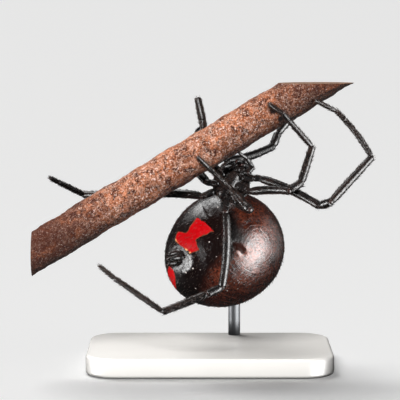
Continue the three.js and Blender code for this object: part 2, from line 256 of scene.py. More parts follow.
def tube(route, radii, sides, cap=0.6):
    """Corners and faces of a closed round tube along the places of the route."""
    route = np.asarray(route, float)
    along = np.gradient(route, axis=0)
    along /= np.linalg.norm(along, axis=1)[:, None]
    side = np.cross(along[0], (0.3, 0.9, 0.2))
    rings = []
    for here, forward, radius in zip(route, along, radii):
        side = side - forward * np.dot(side, forward)
        side /= np.linalg.norm(side)
        over = np.cross(forward, side)
        turn = np.linspace(0, 2 * math.pi, sides, endpoint=False)
        rings.append(here + radius * (np.outer(np.cos(turn), side) + np.outer(np.sin(turn), over)))
    first = route[0] - along[0] * radii[0] * cap
    last = route[-1] + along[-1] * radii[-1] * cap
    corners = np.vstack([*rings, first[None], last[None]])
    faces = []
    for r in range(len(rings) - 1):
        for i in range(sides):
            j = (i + 1) % sides
            faces.append([r * sides + i, r * sides + j, (r + 1) * sides + j, (r + 1) * sides + i])
    top = (len(rings) - 1) * sides
    for i in range(sides):
        j = (i + 1) % sides
        faces.append([j, i, len(corners) - 2])
        faces.append([top + i, top + j, len(corners) - 1])
    return corners, faces


def calculate(operation, first, second=0.0, third=0.0):
    """One step of arithmetic in the tree that is being made."""
    return add_node("ShaderNodeMath", {0: first, 1: second, 2: third}, operation=operation).outputs[0]


def on_places(operation, first, second=(0, 0, 0)):
    """One step of arithmetic with places; a distance or a dot product gives a number."""
    node = add_node("ShaderNodeVectorMath", {0: first, 1: second}, operation=operation)
    return node.outputs["Value" if operation in ("DISTANCE", "DOT_PRODUCT") else "Vector"]


def bumped(height, strength, depth):
    """The surface's normal, tilted by how the height rises and falls over that depth in millimetres."""
    inputs = {"Height": height, "Strength": strength, "Distance": depth * mm}
    return add_node("ShaderNodeBump", inputs).outputs["Normal"]


bend_start = Vector((rod_x, rod_behind, rod_end.z - rod_bend))
bend_end = Vector((rod_x, rod_behind - rod_bend, rod_end.z))
bend_corner = Vector((rod_x, rod_behind, rod_end.z))
rod_route = [Vector((rod_x, rod_behind, z)) for z in np.linspace(slab_thickness - 0.1, bend_start.z, 12)]
for t in np.linspace(0, 1, 20)[1:]:
    rod_route.append(bend_start * (1 - t) ** 2 + bend_corner * 2 * t * (1 - t) + bend_end * t**2)
rod_route += [bend_end.lerp(rod_end, t) for t in (0.3, 0.6, 1)]
rod_steel, tree, shader = new_material("rod_steel", {"Metallic": 1})
scratches = clouds_of(on_places("MULTIPLY", place_from(), (16, 16, 0.3)), 1, 3)
brushed = {
    "Base Color": mixed(scratches, rod_dark, rod_light),
    "Roughness": ranged(scratches, 0.5, 0.64),
    "Normal": bumped(scratches, 0.25, 0.02),
}
set_inputs(shader, brushed)
rod = mesh_object("rod", *tube(rod_route, [rod_radius] * len(rod_route), 32, cap=0.1), rod_steel)
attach(rod, "root")
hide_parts("stand_rod")


# Perch
# A cut length of dead stick. Its thin bark is crusted with reddish-brown granules, with a painted pool of
# light along the middle of its length that makes it paler and more orange there; the two sawn ends show
# bare wood with faint rings.

perch_centre = np.array((0, -4.11, 18.32))
perch_bearing = 3.6
perch_climb = 30.8
perch_turn = (0, -math.radians(perch_climb), math.radians(perch_bearing))
perch_radius = 1.58
perch_left_cut = -14.16
perch_top_cut = 23.36
bark_steps = 340
bark_sides = 150
bark_seed = 7
bark_lump = 0.03
granule_height = 0.1
# Each dark pit: how far along the stick, how many degrees up from the front, and its size. The last is a
# knot; the second is painted shade, a dark pit laid where shade falls below the first; the first is a
# large dark patch beside a foot.
knots_and_painted_shade = ((5.7, 5, 0.4), (5.9, -34, 0.26), (-7.4, 12, 0.15))


def heading(bearing, climb):
    """The direction of that bearing from +X towards +Y and that climb, in degrees."""
    b, c = math.radians(bearing), math.radians(climb)
    return np.array((math.cos(c) * math.cos(b), math.cos(c) * math.sin(b), math.sin(c)))


perch_axis = heading(perch_bearing, perch_climb)
perch_front = np.array((0.0, -1, 0)) + perch_axis * perch_axis[1]
perch_front /= np.linalg.norm(perch_front)
perch_top = -np.cross(perch_axis, perch_front)


def perch_point(along, turn, height):
    """A place beside the stick's axis: so far along it, turned so many degrees from the front."""
    a = math.radians(turn)
    out = perch_front * math.cos(a) + perch_top * math.sin(a)
    return perch_centre + perch_axis * along + height * out


def bark_height(along, turn):
    """The bark's own height over the axis, lumps and granules together."""
    a = math.radians(turn)
    lump = math.sin(along * 0.9 + 0.05 * turn) + math.sin(along * 2.3 - 2 * a)
    place = Vector((math.cos(a) * perch_radius, math.sin(a) * perch_radius, along))
    near, _ = noise.voronoi(place * 2.6 + noise.noise_vector(place * 2) * 0.6)
    wrinkle = noise.fractal(place * Vector((1.2, 1.2, 0.8)), 0.6, 2.2, 6)
    crust = 0.6 * max(0.6 - near[0], 0) + 0.5 * wrinkle
    height = perch_radius - 0.05 + bark_lump * lump + granule_height * crust
    for pit_along, pit_turn, size in knots_and_painted_shade:
        off = math.hypot(along - pit_along, math.radians(turn - pit_turn) * perch_radius)
        rim = 0.1 * math.exp(-(((off - size * 1.4) / (size * 0.5)) ** 2))
        height += rim - 0.16 * math.exp(-((off / size) ** 2))
    return height


noise.seed_set(bark_seed)
bark_rings = []
for step in range(bark_steps):
    ring = []
    for i in range(bark_sides):
        turn = 360 * i / bark_sides
        flat = perch_point(0, turn, perch_radius)
        left = (perch_left_cut - flat[0]) / perch_axis[0]
        top = (perch_top_cut - flat[2]) / perch_axis[2]
        along = left + (top - left) * step / (bark_steps - 1)
        place = perch_point(along, turn, bark_height(along, turn))
        if step == 0:
            place[0] = perch_left_cut
        if step == bark_steps - 1:
            place[2] = perch_top_cut
        ring.append(place)
    bark_rings.append(ring)
bark_corners = np.array(bark_rings).reshape(-1, 3)
bark_faces = [face[::-1] for face in stacked_rings(bark_rings)]


def between(value, low, high, smooth=True):
    """0 below low, 1 above high and an even rise in the middle; high may lie under low."""
    kind = "SMOOTHSTEP" if smooth else "LINEAR"
    inputs = {"Value": value, "From Min": low, "From Max": high}
    return add_node("ShaderNodeMapRange", inputs, interpolation_type=kind).outputs["Result"]


bark, tree, shader = new_material("bark", {"Specular IOR Level": 0.15})
on_stick = place_from(perch_centre, perch_turn)
along = add_node("ShaderNodeSeparateXYZ", {"Vector": on_stick}).outputs["X"]
patches = clouds_of(on_stick, 0.55, 6, 0.75, 0.4)
scale_dust = clouds_of(on_stick, 1.5, 5, 0.75, 0.3)
grit = clouds_of(on_stick, 4.6, 4, 0.85, 1.6)
flecks = clouds_of(on_stick, 3.6, 4, 0.85, 1.6)
sparks = clouds_of(on_stick, 6.5, 2, 0.7, 1)
# Painted light: a pool of light along the middle of the stick, fading towards both ends, makes the ground,
# the powder and the flecks paler and more orange there.
painted_light_middle = calculate("MULTIPLY", between(along, -15, -6), between(along, 13, 1))
warmth = calculate("MULTIPLY_ADD", painted_light_middle, 0.6, calculate("MULTIPLY_ADD", patches, 2.4, -1.2))
ground = mixed(between(warmth, 0.05, 1.05, smooth=False), (0.07, 0.02, 0.01, 1), (0.68, 0.21, 0.078, 1))
powder = mixed(painted_light_middle, (0.12, 0.055, 0.04, 1), (0.5, 0.26, 0.18, 1))
powdered = mixed(calculate("MULTIPLY", between(scale_dust, 0.52, 0.62), 0.6), ground, powder)
pitted = mixed(between(scale_dust, 0.4, 0.52), (0.05, 0.012, 0.007, 1), powdered)
gritty = mixed(between(grit, 0.42, 0.52), (0.06, 0.015, 0.008, 1), pitted)
fleck_share = calculate("MULTIPLY", between(flecks, 0.53, 0.6), calculate("MULTIPLY_ADD", painted_light_middle, 0.62, 0.12))
flecked = mixed(fleck_share, gritty, (0.8, 0.5, 0.37, 1))
spark_share = calculate("MULTIPLY", between(sparks, 0.6, 0.65), calculate("MULTIPLY_ADD", painted_light_middle, 0.7, 0.2))
knot_and_shade_coloured = mixed(spark_share, flecked, (0.85, 0.66, 0.58, 1))
# Each pit is coloured near black; for the second pit this dark colour is painted shade.
for pit_along, pit_turn, size in knots_and_painted_shade:
    a = math.radians(pit_turn)
    heart = (pit_along, -perch_radius * math.cos(a), perch_radius * math.sin(a))
    off = on_places("DISTANCE", on_stick, heart)
    ragged = calculate("MULTIPLY_ADD", scale_dust, size * 1.6, calculate("MULTIPLY_ADD", grit, size, off))
    knot_and_shade_coloured = mixed(between(ragged, size * 2.6, size * 1.9), knot_and_shade_coloured, (0.012, 0.007, 0.006, 1))
crumbs = calculate("ADD", calculate("MULTIPLY", grit, 0.6), scale_dust)
crusted = {
    "Base Color": knot_and_shade_coloured,
    "Roughness": calculate("MULTIPLY_ADD", grit, -0.6, 1.25),
    "Normal": bumped(crumbs, 1, 0.34),
}
set_inputs(shader, crusted)

sawn_wood, tree, shader = new_material("sawn_wood", {"Specular IOR Level": 0.25})
on_stick = place_from(perch_centre, perch_turn)
years = add_node(
    "ShaderNodeTexWave",
    {"Vector": on_stick, "Scale": 1.5, "Distortion": 2.6, "Detail": 3, "Detail Scale": 0.6,
     "Detail Roughness": 0.65},
    wave_type="RINGS",
    rings_direction="X",
).outputs["Fac"]
fibres = clouds_of(on_stick, 5, 4, 0.8)
fibre_ground = mixed(between(fibres, 0.35, 0.65), (0.11, 0.055, 0.032, 1), (0.24, 0.145, 0.09, 1))
sawn = {
    "Base Color": mixed(calculate("MULTIPLY", years, 0.35), fibre_ground, (0.1, 0.05, 0.03, 1)),
    "Roughness": calculate("MULTIPLY_ADD", fibres, -0.3, 0.95),
    "Normal": bumped(fibres, 0.7, 0.1),
}
set_inputs(shader, sawn)

perch = mesh_object("perch", bark_corners, bark_faces, bark, sawn_wood)
for face in list(perch.data.polygons)[-2:]:
    face.material_index = 1
    face.use_smooth = False
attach(perch, "root")
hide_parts("perch_stick")


# Abdomen
# A globe of thin, glossy skin, black below and brown on its flanks and back, with a glow of light painted
# warm round the large highlight on the left flank, a red hourglass on the underside, a red mark behind the
# spinnerets, faint folds and the plates of the book lungs.

hind_centre = np.array((1.15, -0.2, 9.53))
hind_turn = Euler((math.radians(-124), math.radians(-43.3), math.radians(-7)))
hind_frame = np.array(hind_turn.to_matrix())
abdomen_length = 10.1
abdomen_width = 9.2
abdomen_height = 9.16
abdomen_lean = 12
abdomen_taper = 0.05
abdomen_cuts = 96
abdomen_hair = 0.25
spinneret_angle = -35
underside_shift = 3
hourglass_side = -2.4
hourglass_skew = 0.22
# Folds of the skin: each route in degrees to the front and to the left of straight down, the height in
# millimetres and the half width in degrees.
skin_folds = [
    ([(-20, 13), (-24, 19), (-31, 20.5), (-41, 16)], 0.1, 4.2),
    ([(-21, -19), (-30, -23), (-38, -20)], 0.06, 4),
    ([(25, 33), (30, 37), (32, 44)], -0.06, 3.2),
    ([(20, 37), (24, 43)], 0.05, 3),
    ([(45, 21), (54, 18), (64, 20)], -0.03, 2),
]
# Dents over the muscles of the back, by how many degrees round and out to each side they lie.
muscle_dents = ((152, 15), (-172, 17), (-140, 12))
# Half the hourglass's width at each place from its rear end to its front end, in degrees; where it is
# less than nothing, the skin is black.
hourglass_outline = [
    (-30, -5), (-22.2, -5), (-21.6, 13), (-18, 15), (-14.4, 16.9), (-12.8, 16.4), (-10.6, 11.2),
    (-8, 7.6), (-5.5, 6.6), (-3, 7), (0, 8.6), (4, 10), (8, 11.2), (11.8, 12.4), (12.4, -5), (20, -5),
]
outline_rear = -30
outline_length = 50
outline_least = -5
outline_breadth = 25
# The long red mark behind the spinnerets: its middle, half length and half width in degrees.
rear_mark = -64
rear_mark_length = 14.5
rear_mark_width = 7.2
# Dull patches of skin whose dark colour is painted shade, the dark notch in the large highlight on the left
# flank: degrees to the front, degrees to the left and reach in degrees.
dull_shaded_marks = ((26, 34, 2.6), (29.5, 38, 3.6), (32, 43, 3))
# The middle of the left flank, where the large highlight lies, as a direction in the abdomen's own frame.
flank_axis = (0.62, 0.64, -0.45)
# The pages of the sheet on which the skin is laid out flat.
sheet_columns = 10
sheet_rows = 8
skin_parts = []


def abdomen_relief(angle, side):
    """Folds of the skin in millimetres, by the angle from straight down to the front and to the left."""
    from_spinnerets = np.hypot(angle - spinneret_angle, side)
    fold = -0.04 * np.exp(-(((from_spinnerets - 9) / 3) ** 2))
    for route, height, width in skin_folds:
        off = np.full(len(angle), 90.0)
        for first, last in zip(np.array(route[:-1]), np.array(route[1:])):
            way = last - first
            share = ((angle - first[0]) * way[0] + (side - first[1]) * way[1]) / np.dot(way, way)
            share = np.clip(share, 0, 1)
            off_angle = angle - first[0] - way[0] * share
            off_side = side - first[1] - way[1] * share
            off = np.minimum(off, np.hypot(off_angle, off_side))
        fold += height * np.exp(-((off / width) ** 2))
    # The furrow across the underside, the plate of a book lung at each end of it and the small mound
    # in its middle, all a little to the right of the middle line.
    across = side + underside_shift
    within = 1 / (1 + np.exp((np.abs(across) - 24) / 3))
    furrow_line = 17.5 + 0.006 * across**2
    fold -= 0.04 * within * np.exp(-(((angle - furrow_line) / 1.5) ** 2))
    plate = ((angle - 24.5) / 4.5) ** 2 + ((np.abs(across) - 15) / 8) ** 2
    fold += 0.035 * np.exp(-(plate**2))
    fold += 0.06 * np.exp(-(((angle - 20.5) / 2.4) ** 2 + (across / 4) ** 2))
    for back, out in muscle_dents:
        dent = (((angle - back + 180) % 360 - 180) / 2.2) ** 2 + ((np.abs(side) - out) / 2.2) ** 2
        fold -= 0.05 * np.exp(-dent)
    return fold


def globe_grid(cuts):
    """Corners of a unit globe made from a cube, with its faces, so that it has no pole."""
    share = np.tan(np.linspace(-1, 1, cuts + 1) * math.pi / 4)
    a, b = np.meshgrid(share, share, indexing="ij")
    one = np.ones_like(a)
    sheets = [(one, a, b), (-one, b, a), (b, one, a), (a, -one, b), (a, b, one), (b, a, -one)]
    corners, faces = [], []
    for sheet in sheets:
        start = len(corners) * (cuts + 1) ** 2
        corners.append(np.stack(sheet, -1).reshape(-1, 3))
        for i in range(cuts):
            for j in range(cuts):
                k = start + i * (cuts + 1) + j
                faces.append([k, k + cuts + 1, k + cuts + 2, k + 1])
    corners = np.vstack(corners)
    corners /= np.linalg.norm(corners, axis=1)[:, None]
    _, first, same = np.unique(np.round(corners, 6), axis=0, return_index=True, return_inverse=True)
    same = same.reshape(-1)
    return corners[first], [[int(same[k]) for k in face] for face in faces]


def turned_outward(corners, faces):
    """The faces, all turned round if the closed form they make is inside out."""
    volume = sum(
        np.dot(corners[f[0]], np.cross(corners[f[i]], corners[f[i + 1]]))
        for f in faces
        for i in range(1, len(f) - 1)
    )
    return faces if volume > 0 else [face[::-1] for face in faces]


def add_skin(corners, faces, finish, lie=(0, 0, 1), hair=0.0, page=(0, 0)):
    """Keeps one closed form for the skin: its finish, which way its hairs lie and how many there are,
    and its page, the column and row of a sheet on which the skin is laid out flat."""
    corners = np.asarray(corners, float)
    faces = turned_outward(corners - corners.mean(0), faces)
    lie = np.broadcast_to(np.asarray(lie, float), corners.shape)
    axis = lie.mean(0) / max(np.linalg.norm(lie.mean(0)), 1e-9)
    over = np.cross(axis, (0.36, 0.48, 0.8))
    centred = corners - corners.mean(0)
    along = centred @ axis
    along = (along - along.min()) / max(np.ptp(along), 1e-9)
    around = np.arctan2(centred @ over, centred @ np.cross(axis, over)) / (2 * math.pi) + 0.5
    across = (page[0] + 0.05 + 0.9 * around) / sheet_columns
    upward = (page[1] + 0.05 + 0.9 * along) / sheet_rows
    laid = np.stack([across, upward, 0 * along], 1)
    skin_parts.append((corners, faces, finish, lie, hair, laid))


globe, globe_faces = globe_grid(abdomen_cuts)
slim = 1 + abdomen_taper * globe[:, :1]
stretched = globe * np.array((abdomen_length, abdomen_width, abdomen_height)) / 2
stretched[:, 1:] *= slim
lean = math.radians(-abdomen_lean)
leaning = np.array(((math.cos(lean), 0, math.sin(lean)), (0, 1, 0), (-math.sin(lean), 0, math.cos(lean))))
abdomen_local = stretched @ leaning.T
reach = np.linalg.norm(abdomen_local, axis=1)
outward = abdomen_local / reach[:, None]
down_angle = np.degrees(np.arctan2(outward[:, 0], -outward[:, 2]))
side_angle = np.degrees(np.arcsin(np.clip(outward[:, 1], -1, 1)))
swelling = np.array([noise.fractal(Vector(d) * 1.6, 1, 2, 3) for d in outward])
dimples = np.array([noise.fractal(Vector(d) * 7, 0.8, 2, 3) for d in outward])
relief = abdomen_relief(down_angle, side_angle) + 0.035 * swelling + 0.008 * dimples
abdomen_local += outward * relief[:, None]
rearward = np.cross(np.cross(outward, (-1.0, 0, 0)), outward) @ hind_frame.T
abdomen_form = hind_centre + abdomen_local @ hind_frame.T
add_skin(abdomen_form, globe_faces, "abdomen", rearward, abdomen_hair, (0, 0))

abdomen_skin, tree, shader = new_material("abdomen_skin", {"Coat Roughness": 0.16, "Coat IOR": 1.5})
local = place_from(hind_centre, hind_turn)
wander = add_node("ShaderNodeTexNoise", {"Vector": local, "Scale": 2.6, "Detail": 4}).outputs["Color"]
ragged = on_places("MULTIPLY", on_places("SUBTRACT", wander, (0.5, 0.5, 0.5)), (0.3, 0.3, 0.3))
unit = on_places("NORMALIZE", on_places("ADD", local, ragged))
parts = add_node("ShaderNodeSeparateXYZ", {"Vector": unit}).outputs
downward = calculate("MULTIPLY", parts["Z"], -1)
angle = calculate("DEGREES", calculate("ARCTAN2", parts["X"], downward))
side = calculate("DEGREES", calculate("ARCSINE", parts["Y"]))
off_middle = calculate("SUBTRACT", side, hourglass_side)
off_line = calculate("ABSOLUTE", off_middle)
ahead = calculate("SUBTRACT", angle, calculate("MULTIPLY", off_middle, hourglass_skew))

outline_share = between(ahead, outline_rear, outline_rear + outline_length, smooth=False)
half_width = add_node("ShaderNodeFloatCurve", {"Value": outline_share})
outline_spots = [
    ((at - outline_rear) / outline_length, (width - outline_least) / outline_breadth)
    for at, width in hourglass_outline
]
curve = half_width.mapping.curves[0]
curve.points[0].location = outline_spots[0]
curve.points[-1].location = outline_spots[-1]
for spot in outline_spots[1:-1]:
    curve.points.new(*spot)
for point in curve.points:
    point.handle_type = "VECTOR"
half_width.mapping.update()
wide = calculate("MULTIPLY_ADD", half_width.outputs[0], outline_breadth, outline_least)
inside = calculate("SUBTRACT", wide, off_line)
hourglass = between(inside, -0.45, 0.45)
hourglass_rim = calculate("SUBTRACT", between(inside, -1.5, -0.2), hourglass)

spot_across = calculate("ABSOLUTE", calculate("DIVIDE", side, rear_mark_width))
spot_along = calculate("DIVIDE", calculate("SUBTRACT", angle, rear_mark), rear_mark_length)
spot_along = calculate("POWER", calculate("ABSOLUTE", spot_along), 4)
spot_reach = calculate("ADD", calculate("POWER", spot_across, 2), spot_along)
spot = between(spot_reach, 1.08, 0.9)
spot_rim = calculate("SUBTRACT", between(spot_reach, 1.5, 1.0), spot)

flank = between(calculate("ABSOLUTE", side), 32, 50)
back = calculate("MAXIMUM", between(angle, 36, 54), between(angle, -75, -110))
brown_share = calculate("MAXIMUM", flank, back)
clouds = clouds_of(local, 0.9, 5, 0.6)
wander_amount = clouds_of(local, 2.2, 3, 0.6)
speckle = clouds_of(local, 5.5, 3, 0.8)
speckled = between(speckle, 0.38, 0.62)
dark_brown = mixed(speckled, (0.012, 0.0018, 0.0009, 1), (0.06, 0.01, 0.0045, 1))
warm_and_glow_brown = mixed(speckled, (0.035, 0.006, 0.0022, 1), (0.24, 0.052, 0.022, 1))

# How many degrees off the left flank's middle, where the large highlight lies; the brown and the fine
# streaks run in rings round it. The warm brown near it is partly the skin's colour and partly a painted
# glow of the light that shines through the thin skin.
axis_along = on_places("DOT_PRODUCT", unit, flank_axis)
flank_reach = calculate("DEGREES", calculate("ARCCOSINE", axis_along))
# Painted light: the warm brown is strongest near the large highlight, partly the skin's own colour and
# partly a painted glow of light through the thin skin.
warm_and_glow_share = calculate("MULTIPLY", between(clouds, 0.3, 0.6), between(flank_reach, 72, 34))
brown = mixed(warm_and_glow_share, dark_brown, warm_and_glow_brown)
ground = mixed(brown_share, (0.0035, 0.0011, 0.0009, 1), brown)
round_flank = on_places("NORMALIZE", on_places("CROSS_PRODUCT", unit, flank_axis))
ring_step = add_node("ShaderNodeCombineXYZ", {"X": calculate("MULTIPLY", flank_reach, 0.55)}).outputs[0]
ring_place = on_places("ADD", on_places("MULTIPLY", round_flank, (1.3, 1.3, 1.3)), ring_step)
streaks = clouds_of(ring_place, 0.8, 6, 0.7, 0.8)
streak_share = calculate("MULTIPLY", between(streaks, 0.52, 0.68), calculate("MULTIPLY", brown_share, 0.6))
streaked = mixed(streak_share, ground, (0.2, 0.07, 0.045, 1))

dust = add_node("ShaderNodeTexVoronoi", {"Vector": local, "Scale": 2.8})
dust_draw = add_node("ShaderNodeSeparateColor", {"Color": dust.outputs["Color"]}).outputs[0]
dust_size = calculate("SUBTRACT", dust_draw, 0.79)
dust_spots = calculate("LESS_THAN", dust.outputs["Distance"], dust_size)
dusted = mixed(calculate("MULTIPLY", dust_spots, 0.85), streaked, (0.62, 0.56, 0.52, 1))

red_patches = between(clouds_of(local, 5, 3), 0.4, 0.7)
red = mixed(red_patches, (0.255, 0.0008, 0.002, 1), (0.3, 0.003, 0.005, 1))
red = mixed(spot, red, (0.6, 0.004, 0.006, 1))
rim_share = calculate("MULTIPLY", calculate("MAXIMUM", hourglass_rim, spot_rim), 0.45)
rimmed = mixed(calculate("MAXIMUM", rim_share, 0), dusted, (0.3, 0.06, 0.02, 1))
red_share = calculate("MAXIMUM", hourglass, spot)
painted = mixed(red_share, rimmed, red)
rear_edge = calculate("MULTIPLY", between(ahead, -20.2, -21.4), between(ahead, -22.8, -21.8))
rear_middle = calculate("MULTIPLY", between(off_line, 14.5, 12.5), between(wander_amount, 0.45, 0.6))
rear_rim = calculate("MULTIPLY", rear_edge, rear_middle)
edged = mixed(rear_rim, painted, (0.62, 0.3, 0.12, 1))

# The dark colour of the dull patches is painted shade: it cuts a dark notch into the large highlight.
dull_and_shaded = 0
for mark_angle, mark_side, mark_reach in dull_shaded_marks:
    a, s = math.radians(mark_angle), math.radians(mark_side)
    heart = (math.cos(s) * math.sin(a), math.sin(s), -math.cos(s) * math.cos(a))
    off_mark = calculate("DEGREES", on_places("DISTANCE", unit, heart))
    frayed = calculate("MULTIPLY_ADD", wander_amount, 4, off_mark)
    dull_and_shaded = calculate("MAXIMUM", dull_and_shaded, between(frayed, mark_reach + 3, mark_reach + 1.4))
matt = calculate("MAXIMUM", dull_and_shaded, calculate("MULTIPLY", red_share, 0.8))

pores = add_node("ShaderNodeTexVoronoi", {"Vector": local, "Scale": 5.5}).outputs["Distance"]
weave = clouds_of(local, 5, 6, 0.7)
folds = calculate("MULTIPLY_ADD", weave, 0.4, calculate("MULTIPLY", streaks, 1.5))
painted_skin = {
    "Base Color": mixed(dull_and_shaded, edged, (0.02, 0.005, 0.003, 1)),
    "Specular IOR Level": calculate("MULTIPLY_ADD", matt, -0.46, 0.5),
    "Coat Weight": calculate("MULTIPLY_ADD", matt, -0.1, 0.1),
    "Roughness": ranged(weave, 0.18, 0.32),
    "Normal": bumped(calculate("MULTIPLY_ADD", pores, 0.12, folds), 0.45, 0.05),
}
set_inputs(shader, painted_skin)


# Cephalothorax and waist
# The glossy black shield with its raised head, grooves and central pit, the heart-shaped breastplate
# below it with lip and mouth plates, and the thin stalk that carries the abdomen.

fore_centre = np.array((1.72, -3.46, 15.31))
fore_turn = Euler((math.radians(-121.5), math.radians(-54.6), math.radians(8.5)))
fore_frame = np.array(fore_turn.to_matrix())
carapace_front = 2.05
carapace_rear = -1.55
carapace_half_width = 1.62
carapace_height = 0.95
carapace_rim = -0.16
sternum_front = 1.2
sternum_rear = -1.5
sternum_half_width = 0.78
sternum_depth = -0.86
shield_hair = 0.12
sternum_hair = 1.2
mouth_plate_hair = 0.4


def on_fore_body(places):
    """Places given as forward, left and up in the fore body's own frame."""
    return fore_centre + np.asarray(places, float) @ fore_frame.T


def swept_form(rear, front, section, sides, rings):
    """A closed form swept forward from rear to front; section gives half width, height and depth."""
    corners = []
    for t in np.cos(np.linspace(math.pi, 0, rings + 2))[1:-1]:
        for a in np.linspace(0, 2 * math.pi, sides, endpoint=False):
            half_width, above, below = section(t, math.cos(a))
            up = math.sin(a)
            place = (rear + front) / 2 + t * (front - rear) / 2
            corners.append((place, math.cos(a) * half_width, up * (above if up > 0 else below)))
    shaped = [corners[k * sides : (k + 1) * sides] for k in range(rings)]
    return np.array(corners), stacked_rings(shaped)


def round_end(t, fullness):
    """How wide a form is at t, from -1 at one end to 1 at the other; more fullness, blunter ends."""
    return math.sqrt(max(1 - abs(t) ** fullness, 0))


def smooth_step(value, low, high):
    """An even rise from 0 at low to 1 at high."""
    share = min(max((value - low) / (high - low), 0), 1)
    return share * share * (3 - 2 * share)


def groove(forward, out, first, last, width):
    """How deep in the groove from the first place to the last a place lies, from 0 to 1."""
    first, last = np.array(first), np.array(last)
    along = last - first
    share = min(max(np.dot((forward, out) - first, along) / np.dot(along, along), 0), 1)
    return math.exp(-((np.linalg.norm((forward, out) - first - along * share) / width) ** 2))


# The neck groove and three grooves that spread from the pit: start and end as (forward, out), and width.
shield_grooves = [
    ((-0.15, 0), (0.85, 1.15), 0.1),
    ((-0.2, 0.1), (0.1, 1.4), 0.09),
    ((-0.3, 0.1), (-0.5, 1.35), 0.09),
    ((-0.35, 0.08), (-1.0, 0.95), 0.09),
]


def carapace_section(t, across):
    """The shield's half width, height and depth at t along it, and at that share of its width."""
    head = smooth_step(t, -0.1, 0.75)
    end = round_end(t, 6 if t > 0 else 2.4)
    half_width = carapace_half_width * (1 - 0.44 * head) * end
    forward = (carapace_front + carapace_rear) / 2 + t * (carapace_front - carapace_rear) / 2
    out = abs(across) * half_width
    cut = 0.16 * groove(forward, out, (-0.3, 0), (-0.02, 0), 0.13)
    cut += sum(0.055 * groove(forward, out, *line) for line in shield_grooves)
    above = carapace_height * (0.86 + 0.14 * head) * end
    return half_width, above * (1 - min(cut / 0.8, 0.6)), -carapace_rim * end + 0.02


def sternum_section(t, across):
    """The same for the breastplate, which has a raised margin."""
    end = round_end(t, 3)
    margin = 0.05 * math.exp(-(((abs(across) - 0.8) / 0.1) ** 2))
    return sternum_half_width * (1 - 0.12 * t) * end, 0.5 * end, (-sternum_depth + margin) * end**0.5


shield, shield_faces = swept_form(carapace_rear, carapace_front, carapace_section, 96, 62)
add_skin(on_fore_body(shield), shield_faces, "shell", fore_frame @ (1, 0, 0), shield_hair, (1, 0))
breastplate, breast_faces = swept_form(sternum_rear, sternum_front, sternum_section, 48, 30)
add_skin(on_fore_body(breastplate), breast_faces, "shell", fore_frame @ (-1, 0, 0), sternum_hair, (1, 1))

plate_globe, plate_faces = globe_grid(10)
# The lip and the two mouth plates: middle, half sizes and turn in degrees.
mouth_plates = [
    ((1.2, 0, -0.72), (0.24, 0.26, 0.16), 0),
    ((1.3, 0.4, -0.68), (0.42, 0.19, 0.19), -24),
    ((1.3, -0.4, -0.68), (0.42, 0.19, 0.19), 24),
]
for centre, size, turn in mouth_plates:
    a = math.radians(turn)
    spin = np.array(((math.cos(a), -math.sin(a), 0), (math.sin(a), math.cos(a), 0), (0, 0, 1)))
    plate = on_fore_body(plate_globe * size @ spin.T + centre)
    add_skin(plate, plate_faces, "shell", fore_frame @ (1, 0, 0), mouth_plate_hair, (1, 2))

waist_start = on_fore_body((carapace_rear * 0.7, 0, 0))
waist_route = [waist_start + (hind_centre - waist_start) * t for t in np.linspace(0, 0.42, 24)]
waist_radii = 0.26 + 0.1 * np.abs(np.linspace(-1, 1, 24)) ** 3 + 0.012 * np.sin(np.linspace(0, 40, 24))
add_skin(*tube(waist_route, waist_radii, 24), "shell")

shell, tree, shader = new_material(
    "shell", {"Specular IOR Level": 0.42, "Coat Weight": 0.2, "Coat Roughness": 0.06, "Coat IOR": 1.5}
)
tint = between(clouds_of(place_from(), 1.1, 4), 0.4, 0.75)
grain = clouds_of(place_from(), 6, 5, 0.75)
polished = {
    "Base Color": mixed(tint, (0.005, 0.0045, 0.0045, 1), (0.014, 0.009, 0.008, 1)),
    "Roughness": ranged(grain, 0.12, 0.38),
    "Normal": bumped(grain, 0.5, 0.06),
}
set_inputs(shader, polished)


# Spinnerets
# Three pairs of short cones and the anal lobe in a low collar, behind the hourglass.

collar_radius = 0.72
collar_height = 0.2
collar_hair = 0.5
cone_hair = 0.8
# Each cone: degrees ahead of the collar's middle, degrees out to each side, length and thickness.
spinneret_cones = [(4, 3.6, 0.85, 0.5), (-0.5, 1.6, 0.7, 0.3), (-4, 2.8, 0.8, 0.42), (-8, 0, 0.6, 0.5)]


def off_abdomen(angle, side, height):
    """A place over the abdomen's surface, by degrees to the front and to the left of straight down."""
    a, s = math.radians(angle), math.radians(side)
    out = np.array((math.sin(a) * math.cos(s), math.sin(s), -math.cos(a) * math.cos(s)))
    straight = leaning.T @ out
    thin = 1 + abdomen_taper * straight[0]
    halves = np.array((abdomen_length, abdomen_width * thin, abdomen_height * thin)) / 2
    return hind_centre + hind_frame @ (out * (1 / np.linalg.norm(straight / halves) + height))


def straight_form(start, end, radius, profile, sides, bow=(0, 0, 0), cap=0.6):
    """A round form from start to end; the profile's rows are a share of the length and of the radius."""
    shares = np.array([share for share, _ in profile])
    route = start + np.outer(shares, end - start) + np.outer(4 * shares * (1 - shares), bow)
    return tube(route, [radius * size for _, size in profile], sides, cap)


